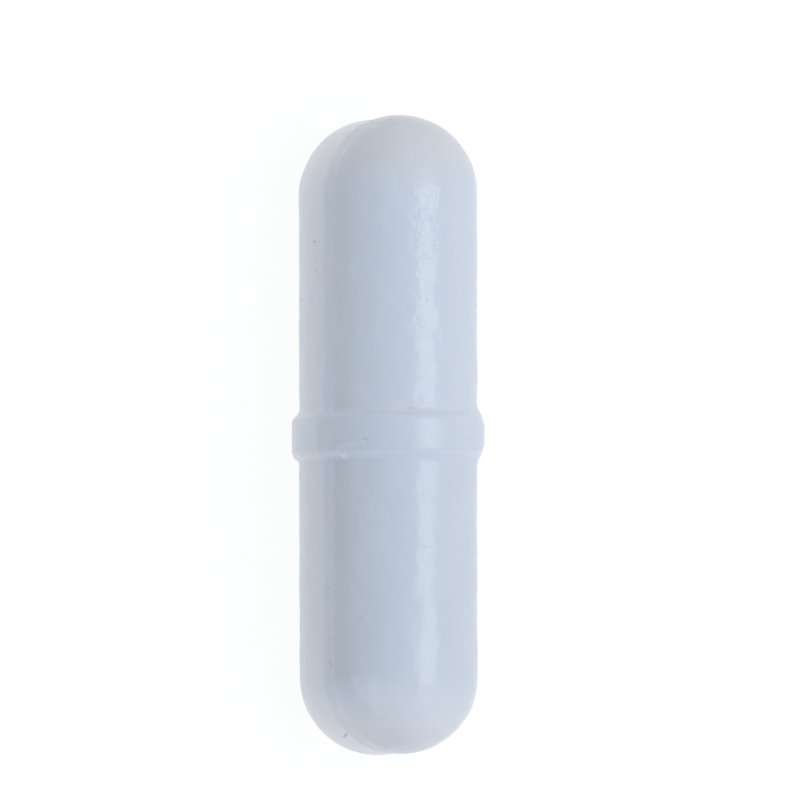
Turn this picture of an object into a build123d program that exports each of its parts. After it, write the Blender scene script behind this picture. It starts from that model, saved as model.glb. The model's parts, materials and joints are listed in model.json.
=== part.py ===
from build123d import *
import os

# A magnetic stir bar: a round bar magnet sealed in a white jacket with a pivot ring at mid-length.
# The bar lies along X with +Z up, and the origin is the centre of the pivot ring. All lengths are in mm.

# Jacket: one moulding with a straight barrel and hemispherical ends
overall_length = 30.0
barrel_diameter = 7.3
jacket_wall = 1.15
end_wall = 3.0

# Pivot ring: a low rib of the same moulding, with a flat crest between two soft flanks
ring_rise = 0.35
ring_crest_width = 1.3
ring_flank_width = 0.65

# Magnet: a round bar with broken edges, which the jacket grips on every face
magnet_edge_chamfer = 0.4

barrel_radius = barrel_diameter / 2
barrel_end = overall_length / 2 - barrel_radius
ring_radius = barrel_radius + ring_rise
crest_end = ring_crest_width / 2
flank_foot = crest_end + ring_flank_width
flank_middle = ((crest_end + flank_foot) / 2, (ring_radius + barrel_radius) / 2)
magnet_radius = barrel_radius - jacket_wall
magnet_length = overall_length - 2 * end_wall

os.makedirs("parts", exist_ok=True)


# The magnet is a plain rod along X
with BuildPart() as magnet_core:
    with BuildSketch(Plane.YZ.offset(-magnet_length / 2)):
        Circle(magnet_radius)
    extrude(amount=magnet_length)
    chamfer(magnet_core.edges().filter_by(GeomType.CIRCLE), magnet_edge_chamfer)
magnet_core.part.label = "magnet_core"


# The jacket is half of its length section turned about X, less the space that the magnet fills.
# Each flank of the ring is a round shoulder that runs into a hollow root half way down.
with BuildPart() as jacket:
    with BuildSketch(Plane.XZ):
        with BuildLine():
            crest = Line((0, ring_radius), (crest_end, ring_radius))
            shoulder = TangentArc(crest @ 1, flank_middle, tangent=crest % 1)
            root = TangentArc(shoulder @ 1, (flank_foot, barrel_radius), tangent=shoulder % 1)
            barrel = Line(root @ 1, (barrel_end, barrel_radius))
            round_end = CenterArc((barrel_end, 0), barrel_radius, 90, -90)
            Line(round_end @ 1, (0, 0))
            mirror(about=Plane.YZ)
        make_face()
    revolve(axis=Axis.X)
    add(magnet_core.part, mode=Mode.SUBTRACT)
jacket.part.label = "jacket"

export_step(magnet_core.part, "parts/magnet_core.step")
export_step(jacket.part, "parts/jacket.step")
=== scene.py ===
import json
from math import atan2, cos, hypot, pi, radians, sin, sqrt, tan

import bpy
from mathutils import Matrix, Vector


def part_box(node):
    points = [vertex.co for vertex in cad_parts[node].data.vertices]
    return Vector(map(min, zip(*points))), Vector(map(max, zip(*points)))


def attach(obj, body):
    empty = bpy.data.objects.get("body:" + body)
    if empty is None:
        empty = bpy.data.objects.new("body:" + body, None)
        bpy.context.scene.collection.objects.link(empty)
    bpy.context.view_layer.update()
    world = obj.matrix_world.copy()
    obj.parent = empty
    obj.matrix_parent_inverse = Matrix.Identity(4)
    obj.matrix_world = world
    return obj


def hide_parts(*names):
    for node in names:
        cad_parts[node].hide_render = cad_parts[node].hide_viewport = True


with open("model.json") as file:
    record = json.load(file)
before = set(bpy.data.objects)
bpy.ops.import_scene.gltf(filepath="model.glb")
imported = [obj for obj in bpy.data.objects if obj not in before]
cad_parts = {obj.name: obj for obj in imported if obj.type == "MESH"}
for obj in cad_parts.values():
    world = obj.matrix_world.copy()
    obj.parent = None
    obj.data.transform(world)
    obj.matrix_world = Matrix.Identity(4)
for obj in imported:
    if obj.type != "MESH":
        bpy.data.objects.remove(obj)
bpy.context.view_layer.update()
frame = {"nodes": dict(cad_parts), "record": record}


# The jacket is white fluoropolymer, pressed and sintered round the magnet in a mould of two halves.
# It is one moulding: a straight barrel, two round ends, and a low ring at mid-length that the bar pivots on.
# The parting line of the mould runs along both sides and over the ends, with a trimmed band beside it.
jacket_low, jacket_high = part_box("jacket")
barrel_mount = next(m for m in frame["record"]["mounts"] if m["name"] == "barrel_plus_x")
barrel_radius = barrel_mount["dims"]["r_mm"] / 1000
ring_radius = min(jacket_high.y, jacket_high.z, -jacket_low.y, -jacket_low.z)
barrel_end = jacket_high.x - barrel_radius
crest_end = 0.00065
flank_foot = 0.00130
end_segments = 44
barrel_cuts = 90
flank_segments = 8
crest_cuts = 6
turn_segments = 224
hair = 4e-7


def select_points(piece, wanted):
    """Selects the points of a piece whose place passes a test, and leaves the piece in edit mode."""
    bpy.ops.object.mode_set(mode="EDIT")
    bpy.ops.mesh.select_mode(type="VERT")
    bpy.ops.mesh.select_all(action="DESELECT")
    bpy.ops.object.mode_set(mode="OBJECT")
    for point in piece.data.vertices:
        point.select = wanted(point.co)
    bpy.ops.object.mode_set(mode="EDIT")


# A quarter of a circle is the outline of one round end
bpy.ops.object.select_all(action="DESELECT")
bpy.ops.mesh.primitive_circle_add(vertices=4 * end_segments, radius=barrel_radius)
jacket = bpy.context.object
jacket.name = "jacket_moulding"
bpy.ops.object.mode_set(mode="EDIT")
bpy.ops.transform.rotate(value=pi / 2, orient_axis="X", center_override=(0, 0, 0))
bpy.ops.transform.translate(value=(barrel_end, 0, 0))
select_points(jacket, lambda place: place.x < barrel_end - hair or place.z < -hair)
bpy.ops.mesh.delete(type="VERT")

# Its top point is drawn along the barrel, up the flank of the ring and over the crest to mid-length.
# Rounding the two corners by almost half the flank each gives the shoulder and the hollow root.
flank_rise = ring_radius - barrel_radius
half_flank = hypot(flank_foot - crest_end, flank_rise) / 2
corner_run = half_flank / 2 / cos(atan2(flank_rise, flank_foot - crest_end))
corner_round = corner_run * 0.998
root_x = flank_foot - corner_run
shoulder_x = crest_end + corner_run
slack = hair * 5
select_points(jacket, lambda place: place.x < barrel_end + hair)
bpy.ops.mesh.extrude_region_move(TRANSFORM_OT_translate={"value": (root_x - barrel_end, 0, 0)})
bpy.ops.mesh.extrude_region_move(TRANSFORM_OT_translate={"value": (shoulder_x - root_x, 0, flank_rise)})
bpy.ops.mesh.extrude_region_move(TRANSFORM_OT_translate={"value": (-shoulder_x, 0, 0)})
select_points(jacket, lambda place: hair < place.x < barrel_end - hair)
bpy.ops.mesh.bevel(affect="VERTICES", offset_type="OFFSET", offset=corner_round, segments=flank_segments)
select_points(jacket, lambda place: flank_foot - slack < place.x < barrel_end + hair)
bpy.ops.mesh.subdivide(number_cuts=barrel_cuts)
select_points(jacket, lambda place: place.x < crest_end + slack)
bpy.ops.mesh.subdivide(number_cuts=crest_cuts)

# The half outline is turned about the axis of the bar and mirrored to the other end
bpy.ops.mesh.select_all(action="SELECT")
bpy.ops.mesh.spin(steps=turn_segments, angle=2 * pi, center=(0, 0, 0), axis=(1, 0, 0))
bpy.ops.object.mode_set(mode="OBJECT")
bpy.ops.object.modifier_add(type="MIRROR")
jacket.modifiers["Mirror"].merge_threshold = hair
bpy.ops.object.modifier_apply(modifier="Mirror")
bpy.ops.object.mode_set(mode="EDIT")
bpy.ops.mesh.select_all(action="SELECT")
bpy.ops.mesh.remove_doubles(threshold=hair)
bpy.ops.mesh.normals_make_consistent(inside=False)
bpy.ops.object.mode_set(mode="OBJECT")

# Pressed and sintered stock is never quite true, so the skin lies in slow, shallow waves.
# They die away at the crest of the ring and at the tips, which keep their full size.
tip_run = 0.0004
uneven = jacket.vertex_groups.new(name="uneven")
for point in jacket.data.vertices:
    off_crest = (abs(point.co.x) - crest_end) / (flank_foot - crest_end)
    off_tip = (jacket_high.x - abs(point.co.x)) / tip_run
    uneven.add([point.index], min(max(off_crest, 0), max(off_tip, 0), 1), "REPLACE")
for wave_size, wave_height in ((0.0017, 0.000070), (0.0006, 0.000026)):
    waves = bpy.data.textures.new("jacket_waves", "CLOUDS")
    waves.noise_scale = wave_size
    waves.noise_depth = 1
    bpy.ops.object.modifier_add(type="DISPLACE")
    wavy = jacket.modifiers["Displace"]
    wavy.texture = waves
    wavy.texture_coords = "LOCAL"
    wavy.vertex_group = "uneven"
    wavy.strength = wave_height
    bpy.ops.object.modifier_apply(modifier="Displace")

# One side of the ring is worn round: its shoulders are lower there and its roots are fuller.
# Each change is shared by three passes, which reach less and less far round the ring.
worn_turn = radians(-90)
worn_passes = [radians(36), radians(24), radians(12)]
worn_width = 0.00005
worn_spread = 0.00034
for worn_x, change in ((0.00075, -0.000085), (0.00113, 0.000050)):
    growth = 1 + change / len(worn_passes) / ring_radius
    for half_angle in worn_passes:
        select_points(
            jacket,
            lambda place: abs(abs(place.x) - worn_x) < worn_width
            and abs(atan2(place.y, place.z) - worn_turn) < half_angle,
        )
        bpy.ops.transform.resize(
            value=(1, growth, growth),
            center_override=(0, 0, 0),
            use_proportional_edit=True,
            proportional_edit_falloff="SMOOTH",
            proportional_size=worn_spread,
        )
        bpy.ops.object.mode_set(mode="OBJECT")


def push_softly(move, spread):
    """Moves the selected points, and those within a spread of them by less and less."""
    bpy.ops.transform.translate(
        value=move,
        use_proportional_edit=True,
        proportional_edit_falloff="SMOOTH",
        proportional_size=spread,
    )
    bpy.ops.object.mode_set(mode="OBJECT")


# The bar is not quite straight: one end leans a hair to the right
lean_from = -0.0135
lean = (0, -0.000042, 0)
lean_spread = 0.0040
select_points(jacket, lambda place: place.x < lean_from)
push_softly(lean, lean_spread)


def skin_point(along, turn):
    """A place on the jacket: millimetres along the bar, and degrees from the top towards +Y."""
    reach = abs(along) / 1000
    if reach > barrel_end:
        radius = sqrt(max(barrel_radius ** 2 - (reach - barrel_end) ** 2, 0))
    elif reach > crest_end:
        radius = barrel_radius + flank_rise * max(flank_foot - reach, 0) / (flank_foot - crest_end)
    else:
        radius = ring_radius
    return Vector((along / 1000, radius * sin(radians(turn)), radius * cos(radians(turn))))


# A ragged burr is left on one flank of the ring, where flash was broken off the parting line.
# Each lump is where it stands (millimetres along, degrees round) and how far it stands out, in millimetres.
burr_lumps = [
    (-0.98, 73, 0.080),
    (-0.88, 67, 0.095),
    (-1.00, 62, 0.070),
    (-0.90, 57, 0.085),
    (-1.06, 52, 0.090),
]
burr_slant = -0.5
burr_radius = 0.00010
burr_spread = 0.00022
for lump_along, lump_turn, lump_height in burr_lumps:
    heart = skin_point(lump_along, lump_turn)
    outward = Vector((burr_slant, sin(radians(lump_turn)), cos(radians(lump_turn)))).normalized()
    select_points(jacket, lambda place: (place - heart).length < burr_radius)
    push_softly(outward * lump_height / 1000, burr_spread)
bpy.ops.object.shade_smooth()

# Inside, the jacket has a wall that fits the magnet all round, with its broken edges
magnet_low, magnet_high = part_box("magnet_core")
broken_edge = 0.0004
bpy.ops.object.select_all(action="DESELECT")
bpy.ops.mesh.primitive_cylinder_add(
    vertices=turn_segments // 2,
    radius=magnet_high.z,
    depth=magnet_high.x - magnet_low.x,
    rotation=(0, pi / 2, 0),
)
cavity = bpy.context.object
cavity.name = "jacket_cavity"
bpy.ops.object.transform_apply(rotation=True)
bpy.ops.object.mode_set(mode="EDIT")
bpy.ops.mesh.select_mode(type="FACE")
bpy.ops.mesh.select_all(action="DESELECT")
bpy.ops.object.mode_set(mode="OBJECT")
for end_face in cavity.data.polygons:
    end_face.select = abs(end_face.normal.x) > 0.9
bpy.ops.object.mode_set(mode="EDIT")
bpy.ops.mesh.bevel(affect="EDGES", offset_type="OFFSET", offset=broken_edge, segments=1)
bpy.ops.mesh.select_all(action="SELECT")
bpy.ops.mesh.flip_normals()
bpy.ops.object.mode_set(mode="OBJECT")
jacket.select_set(True)
bpy.context.view_layer.objects.active = jacket
bpy.ops.object.join()


def add_node(tree, kind, inputs=None, **settings):
    """Adds a shader node with its settings; each input is a plain value, or a socket to join."""
    made = tree.nodes.new(kind)
    for name, value in settings.items():
        setattr(made, name, value)
    for name, value in (inputs or {}).items():
        if isinstance(value, bpy.types.NodeSocket):
            tree.links.new(value, made.inputs[name])
        else:
            made.inputs[name].default_value = value
    return made


def work_out(tree, operation, *values):
    """Adds a Math node and gives its result."""
    return add_node(tree, "ShaderNodeMath", dict(enumerate(values)), operation=operation).outputs[0]


def pair_up(tree, operation, first, second):
    """Adds a Vector Math node for two vectors and gives its outputs."""
    return add_node(tree, "ShaderNodeVectorMath", {0: first, 1: second}, operation=operation).outputs


def times(tree, vector, scale):
    """Gives a vector or a colour times a number."""
    return add_node(tree, "ShaderNodeVectorMath", {0: vector, "Scale": scale}, operation="SCALE").outputs[0]


def fade(tree, value, start, end, low=0.0, high=1.0):
    """Gives a value that goes smoothly from low at start to high at end."""
    ramp = {"Value": value, "From Min": start, "From Max": end, "To Min": low, "To Max": high}
    return add_node(tree, "ShaderNodeMapRange", ramp, interpolation_type="SMOOTHSTEP").outputs["Result"]


def overlap(tree, *masks):
    """Gives the masks multiplied together, which is full only where all of them are."""
    shared = masks[0]
    for mask in masks[1:]:
        shared = work_out(tree, "MULTIPLY", shared, mask)
    return shared


def strongest(tree, *masks):
    """Gives the strongest of the masks at each place."""
    top = masks[0]
    for mask in masks[1:]:
        top = work_out(tree, "MAXIMUM", top, mask)
    return top


def add_up(tree, start, *changes):
    """Gives a start value with each mask's change added where that mask is."""
    total = start
    for mask, change in changes:
        total = work_out(tree, "MULTIPLY_ADD", mask, change, total)
    return total


def blend(tree, share, first, second):
    """Gives the first colour where the share is 0 and the second where it is 1."""
    colours = {"Factor": share, "A": first, "B": second}
    return add_node(tree, "ShaderNodeMix", colours, data_type="RGBA").outputs[2]


def blotches(tree, place, size, detail=2.0):
    """Gives noise from 0 to 1 with blotches of about the given size."""
    noise = {"Vector": place, "Scale": 1 / size, "Detail": detail}
    return add_node(tree, "ShaderNodeTexNoise", noise).outputs["Fac"]


# One small mark: a round-ended stroke between two places, with a soft edge
stroke = bpy.data.node_groups.new("jacket_stroke", "ShaderNodeTree")
for name in ("Place", "Start", "End"):
    stroke.interface.new_socket(name, in_out="INPUT", socket_type="NodeSocketVector")
for name in ("Radius", "Strength"):
    stroke.interface.new_socket(name, in_out="INPUT", socket_type="NodeSocketFloat")
stroke.interface.new_socket("Mark", in_out="OUTPUT", socket_type="NodeSocketFloat")
given = add_node(stroke, "NodeGroupInput").outputs
offset = pair_up(stroke, "SUBTRACT", given["Place"], given["Start"])["Vector"]
run = pair_up(stroke, "SUBTRACT", given["End"], given["Start"])["Vector"]
along_run = pair_up(stroke, "DOT_PRODUCT", offset, run)["Value"]
run_square = pair_up(stroke, "DOT_PRODUCT", run, run)["Value"]
share = work_out(stroke, "DIVIDE", along_run, run_square)
share = work_out(stroke, "MAXIMUM", work_out(stroke, "MINIMUM", share, 1.0), 0.0)
gap = pair_up(stroke, "DISTANCE", offset, times(stroke, run, share))["Value"]
mark = overlap(stroke, fade(stroke, gap, given["Radius"], 0.0), given["Strength"])
add_node(stroke, "NodeGroupOutput", {"Mark": mark})

# Specks of dirt and scratches that are darker than the jacket, and two dots of painted shade. Each is where
# it starts and where it ends (millimetres along, degrees round), its radius in millimetres and its strength.
dark_marks = [
    (14.76, 29, 14.74, 34, 0.10, 0.40),
    (14.81, 18, 14.79, 24, 0.08, 0.35),
    (9.19, 118, 9.19, 119.5, 0.09, 1.00),
    (7.76, 121, 7.76, 122, 0.08, 0.55),
    (6.50, 96, 6.50, 98, 0.09, 1.00),
    (5.00, -9, 4.97, -9, 0.08, 0.25),
    (1.20, 1, 1.21, -1, 0.09, 0.30),
    (-0.22, 33, -0.30, 29.5, 0.09, 0.22),
    (-8.66, 39, -8.62, 37, 0.09, 0.20),
    (-7.20, 75, -7.28, 73, 0.14, 0.12),
    (-9.58, 74, -9.64, 72, 0.14, 0.12),
    (-10.70, 72, -10.82, 69, 0.12, 0.25),
    (-14.00, 138.5, -14.18, 130, 0.09, 1.00),
    (-14.15, 50, -14.18, 49, 0.09, 0.25),
    (-14.67, 37, -14.70, 35, 0.09, 0.45),
    (-14.81, 172, -14.82, 168, 0.09, 0.55),
    (-5.61, -8.8, -5.33, -10.8, 0.10, 0.06),
    (-5.33, -10.8, -5.28, -15.5, 0.11, 0.10),
    (-5.28, -15.5, -5.56, -17.1, 0.10, 0.06),
    # These two are painted shade in the roots of the ring on the right side, not dirt
    (0.97, -75, 1.04, -78, 0.08, 0.50),
    (-1.12, -79, -1.18, -80, 0.07, 0.45),
]

# Scuffs, stretched skin and bits of flash that are lighter than the jacket, in the same way, and some
# painted highlights
pale_marks = [
    # A painted glint on a bit of flash at the +X end, and a painted highlight on a short line at the -X end
    (13.20, 64.5, 13.54, 63.8, 0.15, 1.00),
    (-13.31, 60, -13.31, 50, 0.09, 0.60),
    # A painted highlight on a fold near the -X end
    (-11.62, 43, -12.25, 38, 0.52, 0.55),
    (-11.90, 31, -12.40, 29, 1.00, 0.40),
    (-12.60, 56, -13.70, 44, 1.60, 0.40),
    (-0.59, 54, -0.53, 42, 0.15, 0.50),
    (-0.53, 42, -0.30, 31, 0.12, 0.45),
    (-0.96, 73, -0.86, 63, 0.22, 0.55),
    (-0.86, 63, -1.04, 51, 0.20, 0.60),
    (7.55, 20, 7.52, 20, 0.10, 0.35),
    # Painted highlights on the shoulders of the ring, low on the +Y side
    (0.88, 94, 0.90, 130, 0.13, 0.80),
    (-0.78, 94, -0.78, 126, 0.12, 0.25),
    (14.40, 46, 14.46, 44, 0.16, 0.35),
]


def all_marks(tree, marks, place):
    """Puts a list of small marks on the jacket and gives the strongest at each place."""
    masks = []
    for start_along, start_turn, end_along, end_turn, radius, strength in marks:
        placing = {
            "Place": place,
            "Start": skin_point(start_along, start_turn),
            "End": skin_point(end_along, end_turn),
            "Radius": radius / 1000,
            "Strength": strength,
        }
        masks.append(add_node(tree, "ShaderNodeGroup", placing, node_tree=stroke).outputs["Mark"])
    return strongest(tree, *masks)


jacket_white = bpy.data.materials.new("jacket_white")
jacket_white.use_nodes = True
tree = jacket_white.node_tree
skin = tree.nodes["Principled BSDF"]
place = add_node(tree, "ShaderNodeTexCoord").outputs["Object"]
spot = add_node(tree, "ShaderNodeSeparateXYZ", {"Vector": place}).outputs
along = spot["X"]
sideways = spot["Y"]
height = spot["Z"]
reach = work_out(tree, "ABSOLUTE", along)

# The marks have ragged outlines, because their places are stirred a little
ragged_size = 0.00012
ragged_depth = 0.00016
stir = add_node(tree, "ShaderNodeTexNoise", {"Vector": place, "Scale": 1 / ragged_size, "Detail": 2.0})
stirred = pair_up(tree, "SUBTRACT", stir.outputs["Color"], (0.5, 0.5, 0.5))["Vector"]
ragged_place = pair_up(tree, "ADD", place, times(tree, stirred, ragged_depth))["Vector"]
dirt_and_shade = all_marks(tree, dark_marks, ragged_place)
scuff_and_highlight = all_marks(tree, pale_marks, ragged_place)

# The parting line wanders a little along the bar; one half of the mould stood a hair lower beside it.
# Broken bits of flash are left on the line at both ends, and a fine groove elsewhere.
parting_turn = radians(64.3)
wander_size = 0.0018
wander_width = 0.00060
across = (0, cos(parting_turn), -sin(parting_turn))
length_only = add_node(tree, "ShaderNodeCombineXYZ", {"X": along}).outputs["Vector"]
wander = blotches(tree, length_only, wander_size)
wander = work_out(tree, "MULTIPLY_ADD", wander, wander_width, -wander_width / 2)
side = work_out(tree, "ADD", pair_up(tree, "DOT_PRODUCT", place, across)["Value"], wander)
line_gap = work_out(tree, "ABSOLUTE", side)
lower_half = fade(tree, side, -0.00004, 0.00004)
trimmed = overlap(tree, lower_half, fade(tree, side, 0.0028, 0.0003))
broken = fade(tree, blotches(tree, place, 0.0009), 0.46, 0.60)
flash_line = overlap(tree, fade(tree, line_gap, 0.00022, 0.00003), fade(tree, reach, 0.0112, 0.0128), broken)
groove_line = overlap(tree, fade(tree, line_gap, 0.00010, 0.00002), broken)

# A little grime lies in one root of the ring. Both flanks are painted paler, most of all on the -X side:
# painted light that stands in for light coming through them.
grimy_root = 0.00112
flank_middle = 0.00096
root_gap = work_out(tree, "ABSOLUTE", work_out(tree, "SUBTRACT", along, grimy_root))
root_grime = fade(tree, root_gap, 0.00042, 0.00006, 0.0, 0.40)
flank_gap = work_out(tree, "ABSOLUTE", work_out(tree, "SUBTRACT", reach, flank_middle))
flank_painted_light = fade(tree, flank_gap, 0.00028, 0.00002)
flank_painted_light = overlap(tree, flank_painted_light, fade(tree, along, 0.0006, -0.0006, 0.25, 1.0))

# A few fine flecks are moulded in all over
fleck_spacing = 0.0011
fleck_cells = {"Vector": place, "Scale": 1 / fleck_spacing, "Randomness": 1.0}
cells = add_node(tree, "ShaderNodeTexVoronoi", fleck_cells).outputs
chosen = add_node(tree, "ShaderNodeSeparateColor", {"Color": cells["Color"]}).outputs["Red"]
fleck = fade(tree, cells["Distance"], 0.060, 0.020)
fleck = overlap(tree, fleck, work_out(tree, "GREATER_THAN", chosen, 0.86))

# The white is cool where the dark magnet lies under it. It is warmer past the magnet's ends, beside the
# parting line and in the grimy root. Towards the right it is warmer too, a painted sheen from the light
# there.
barrel_tint = (0.645, 0.732, 0.867, 1)
end_tint = (0.722, 0.755, 0.830, 1)
dirt_and_shade_tint = (0.140, 0.145, 0.165, 1)
past_magnet = overlap(tree, fade(tree, reach, 0.0106, 0.0138), fade(tree, along, -0.0120, 0.0120, 0.75, 1.0))
near_line = fade(tree, line_gap, 0.0024, 0.0002, 0.0, 0.45)
sheen_on_right = fade(tree, sideways, -0.0004, -0.0032, 0.0, 0.33)
warm = strongest(tree, past_magnet, near_line, root_grime, sheen_on_right)
white = blend(tree, warm, barrel_tint, end_tint)

# It is faintly mottled and a shade greyer on the -X half of the barrel. Over the parting line there it is
# darker still, which is painted shade. It is a shade paler beside the line at both ends. The underside and
# the
# -X end are painted paler, which is painted light.
grey_half = overlap(tree, fade(tree, along, 0.0010, -0.0020), fade(tree, along, -0.0130, -0.0110))
painted_shade_lip = overlap(
    tree,
    fade(tree, side, -0.0016, -0.0002),
    fade(tree, side, 0.00004, -0.00004),
    fade(tree, along, 0.0040, 0.0014),
    fade(tree, along, -0.0130, -0.0110),
    fade(tree, reach, 0.0008, 0.0012),
)
pale_lip = overlap(
    tree,
    fade(tree, side, -0.0012, 0.0002),
    fade(tree, side, 0.0022, 0.0008),
    fade(tree, reach, 0.0104, 0.0136),
)
underside = fade(tree, height, -0.0006, -0.0030)
painted_light_end = overlap(tree, fade(tree, along, -0.0110, -0.0140), fade(tree, height, -0.001, 0.001, 0.4, 1.0))
tone = add_up(
    tree,
    0.975,
    (blotches(tree, place, 0.0022, 3.0), 0.05),
    (trimmed, 0.055),
    (grey_half, -0.030),
    (painted_shade_lip, -0.040),
    (pale_lip, 0.075),
    (underside, 0.045),
    (painted_light_end, 0.045),
    (flash_line, 0.06),
    (groove_line, -0.05),
    (scuff_and_highlight, 0.16),
    (flank_painted_light, 0.105),
    (fleck, -0.05),
)
skin_colour = blend(tree, dirt_and_shade, times(tree, white, tone), dirt_and_shade_tint)
tree.links.new(skin_colour, skin.inputs["Base Color"])

# A strip of the upper side is rubbed a little glossier, most of all on the +X half
rubbed = overlap(
    tree,
    fade(tree, sideways, 0.0006, -0.0006),
    fade(tree, sideways, -0.0026, -0.0012),
    fade(tree, height, 0.0005, 0.0015),
    fade(tree, reach, 0.0134, 0.0116),
    fade(tree, reach, 0.0010, 0.0018),
    fade(tree, along, 0.0010, 0.0080, 0.52, 1.0),
)

# The skin is waxy: half glossy, duller along the trimmed band and on the pale marks
dull = add_up(
    tree,
    0.20,
    (blotches(tree, place, 0.0013, 3.0), 0.12),
    (trimmed, 0.30),
    (scuff_and_highlight, 0.15),
    (rubbed, -0.09),
)
tree.links.new(dull, skin.inputs["Roughness"])
skin.inputs["IOR"].default_value = 1.37

# Orange peel, the parting line, the marks and fine dimples in the rubbed strip are relief, in metres
dimple_size = 0.00060
dimple_lay = {"Vector": place, "Scale": (0.8, 1.0, 1.0)}
dimple_place = add_node(tree, "ShaderNodeMapping", dimple_lay).outputs["Vector"]
dimples = work_out(tree, "SUBTRACT", blotches(tree, dimple_place, dimple_size, 3.0), 0.5)
relief = add_up(
    tree,
    0.0,
    (blotches(tree, place, 0.0011), 0.0000025),
    (blotches(tree, place, 0.00030), 0.0000005),
    (lower_half, -0.000006),
    (groove_line, -0.000010),
    (flash_line, 0.000008),
    (scuff_and_highlight, 0.000012),
    (dirt_and_shade, -0.000020),
    (overlap(tree, dimples, rubbed), 0.000082),
)
bump = add_node(tree, "ShaderNodeBump", {"Height": relief, "Distance": 1.0, "Strength": 1.0})
tree.links.new(bump.outputs["Normal"], skin.inputs["Normal"])

jacket.data.materials.clear()
jacket.data.materials.append(jacket_white)
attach(jacket, "root")
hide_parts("jacket")


# The magnet is a cast bar of aluminium, nickel and cobalt alloy with a ground side and broken edges.
# It fills the space inside the jacket, which was pressed round it, so it is sealed in and held all round.
magnet = frame["nodes"]["magnet_core"]
cast_grey = (0.235, 0.232, 0.228, 1)
ground_grey = (0.345, 0.345, 0.350, 1)
magnet_alloy = bpy.data.materials.new("magnet_alloy")
magnet_alloy.use_nodes = True
tree = magnet_alloy.node_tree
metal = tree.nodes["Principled BSDF"]
place = add_node(tree, "ShaderNodeTexCoord").outputs["Object"]
grain = blotches(tree, place, 0.0006, 4.0)
lay = add_node(tree, "ShaderNodeMapping", {"Vector": place, "Scale": (12.0, 1.0, 1.0)}).outputs["Vector"]
scratches = blotches(tree, lay, 0.0012, 3.0)
pits = fade(tree, blotches(tree, place, 0.0004), 0.36, 0.26)
shade = fade(tree, add_up(tree, 0.0, (grain, 0.5), (scratches, 0.5), (pits, -0.4)), 0.25, 0.75)
tree.links.new(blend(tree, shade, cast_grey, ground_grey), metal.inputs["Base Color"])
metal.inputs["Metallic"].default_value = 1.0
dull = add_up(tree, 0.32, (scratches, 0.25), (pits, 0.2))
tree.links.new(dull, metal.inputs["Roughness"])
relief = add_up(tree, 0.0, (scratches, 0.000004), (pits, -0.000012))
bump = add_node(tree, "ShaderNodeBump", {"Height": relief, "Distance": 1.0, "Strength": 1.0})
tree.links.new(bump.outputs["Normal"], metal.inputs["Normal"])
magnet.data.materials.clear()
magnet.data.materials.append(magnet_alloy)


# The bar lies on a polished white plate, balanced on its ring and a hair down at one end.
# Seen from straight above, the polish mirrors the underside of the bar; from the side it fades.
plate_size = 1.2
plate_tilt = radians(0.3)
plate_colour = (0.90, 0.90, 0.90, 1)
plate_bright = 1.34
matt_share = 0.50
polish_from_above = 0.72
polish_aslant = 0.10
bpy.ops.object.select_all(action="DESELECT")
bpy.ops.mesh.primitive_plane_add(size=plate_size)
plate = bpy.context.object
plate.name = "plate"
plate.matrix_world = Matrix.Translation((-crest_end, 0, -ring_radius)) @ Matrix.Rotation(plate_tilt, 4, "Y")


def looked_at(tree):
    """Gives 1 for rays that show a thing: straight to the camera, in a gloss or through glass."""
    path = add_node(tree, "ShaderNodeLightPath").outputs
    return strongest(tree, path["Is Camera Ray"], path["Is Glossy Ray"], path["Is Transmission Ray"])


def lay_over(tree, share, first, second):
    """Gives the first shader where the share is 0 and the second where it is 1."""
    return add_node(tree, "ShaderNodeMixShader", {0: share, 1: first, 2: second}).outputs[0]


plate_white = bpy.data.materials.new("plate_white")
plate_white.use_nodes = True
tree = plate_white.node_tree
tree.nodes.clear()
matt = add_node(tree, "ShaderNodeBsdfDiffuse", {"Color": plate_colour}).outputs[0]
bright = add_node(tree, "ShaderNodeEmission", {"Color": (1, 1, 1, 1), "Strength": plate_bright}).outputs[0]
polish = add_node(tree, "ShaderNodeBsdfGlossy", {"Color": (1, 1, 1, 1), "Roughness": 0.0}).outputs[0]
clear = add_node(tree, "ShaderNodeBsdfTransparent").outputs[0]
from_below = add_node(tree, "ShaderNodeNewGeometry").outputs["Backfacing"]
aslant = add_node(tree, "ShaderNodeLayerWeight", {"Blend": 0.5}).outputs["Facing"]
seen_straight = add_node(tree, "ShaderNodeLightPath").outputs["Is Camera Ray"]
polish_share = overlap(tree, fade(tree, aslant, 0.02, 0.25, polish_from_above, polish_aslant), seen_straight)
surface = lay_over(tree, matt_share, bright, matt)
surface = lay_over(tree, polish_share, surface, polish)
surface = lay_over(tree, looked_at(tree), matt, surface)
surface = lay_over(tree, from_below, surface, clear)
add_node(tree, "ShaderNodeOutputMaterial", {"Surface": surface})
plate.data.materials.append(plate_white)


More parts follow.
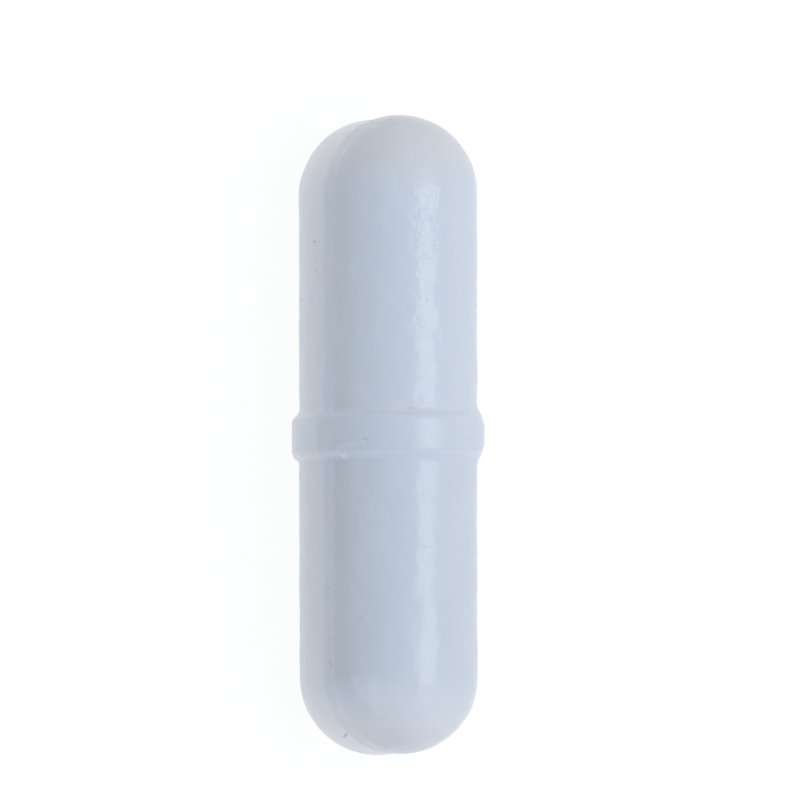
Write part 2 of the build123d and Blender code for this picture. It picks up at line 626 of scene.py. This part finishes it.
# The light is soft, as in a pale room: a dim even sky, and a broad pale panel above to the right.
# A smaller, brighter lamp before the panel gives the long highlight on the barrel.
def soft_lamp(name, angle, far, width, length, radiance):
    """Adds an oblong lamp that faces the bar, at an angle to the right of straight above it."""
    stand = Vector((0, -far * sin(radians(angle)), far * cos(radians(angle))))
    bpy.ops.object.light_add(type="AREA", location=stand, rotation=(radians(angle), 0, 0))
    lamp = bpy.context.object
    lamp.name = name
    lamp.data.shape = "RECTANGLE"
    lamp.data.size = length
    lamp.data.size_y = width
    lamp.data.energy = radiance * pi * width * length


soft_lamp("panel_above", angle=30, far=0.55, width=0.30, length=0.80, radiance=1.05)
soft_lamp("lamp_above", angle=33.9, far=0.40, width=0.193, length=0.12, radiance=2.92)

sky_colour = (0.97, 0.985, 1.0, 1)
sky_strength = 0.55
pale_room = bpy.data.worlds.new("pale_room")
bpy.context.scene.world = pale_room
pale_room.use_nodes = True
tree = pale_room.node_tree
tree.nodes.clear()
sky = add_node(tree, "ShaderNodeBackground", {"Color": sky_colour, "Strength": sky_strength}).outputs[0]
backdrop = add_node(tree, "ShaderNodeBackground", {"Color": (1, 1, 1, 1), "Strength": 1.0}).outputs[0]
add_node(tree, "ShaderNodeOutputWorld", {"Surface": lay_over(tree, looked_at(tree), sky, backdrop)})


# The camera looks almost straight down through a long lens, from a little to the left of the bar.
# The bar stands upright in the frame with +X up, and its ring is a little below the middle.
frame_pixels = 800
pixels_per_metre = 21300
ring_pixel_x = 399.5
ring_pixel_y = 434.5
camera_far = 1.5
camera_left = tan(radians(7.8))
camera_low = -0.0125
back = Vector((camera_low, camera_left, 1)).normalized()
up = (Vector((1, 0, 0)) - back.x * back).normalized()
right = up.cross(back)
shift = (frame_pixels / 2 - ring_pixel_x) * right + (ring_pixel_y - frame_pixels / 2) * up
bpy.ops.object.camera_add()
camera = bpy.context.object
facing = Matrix((right, up, back)).transposed().to_4x4()
camera.matrix_world = Matrix.Translation(back * camera_far + shift / pixels_per_metre) @ facing
camera.data.lens = camera.data.sensor_width * camera_far * pixels_per_metre / frame_pixels
bpy.context.scene.camera = camera
bpy.context.scene.view_settings.view_transform = "Standard"
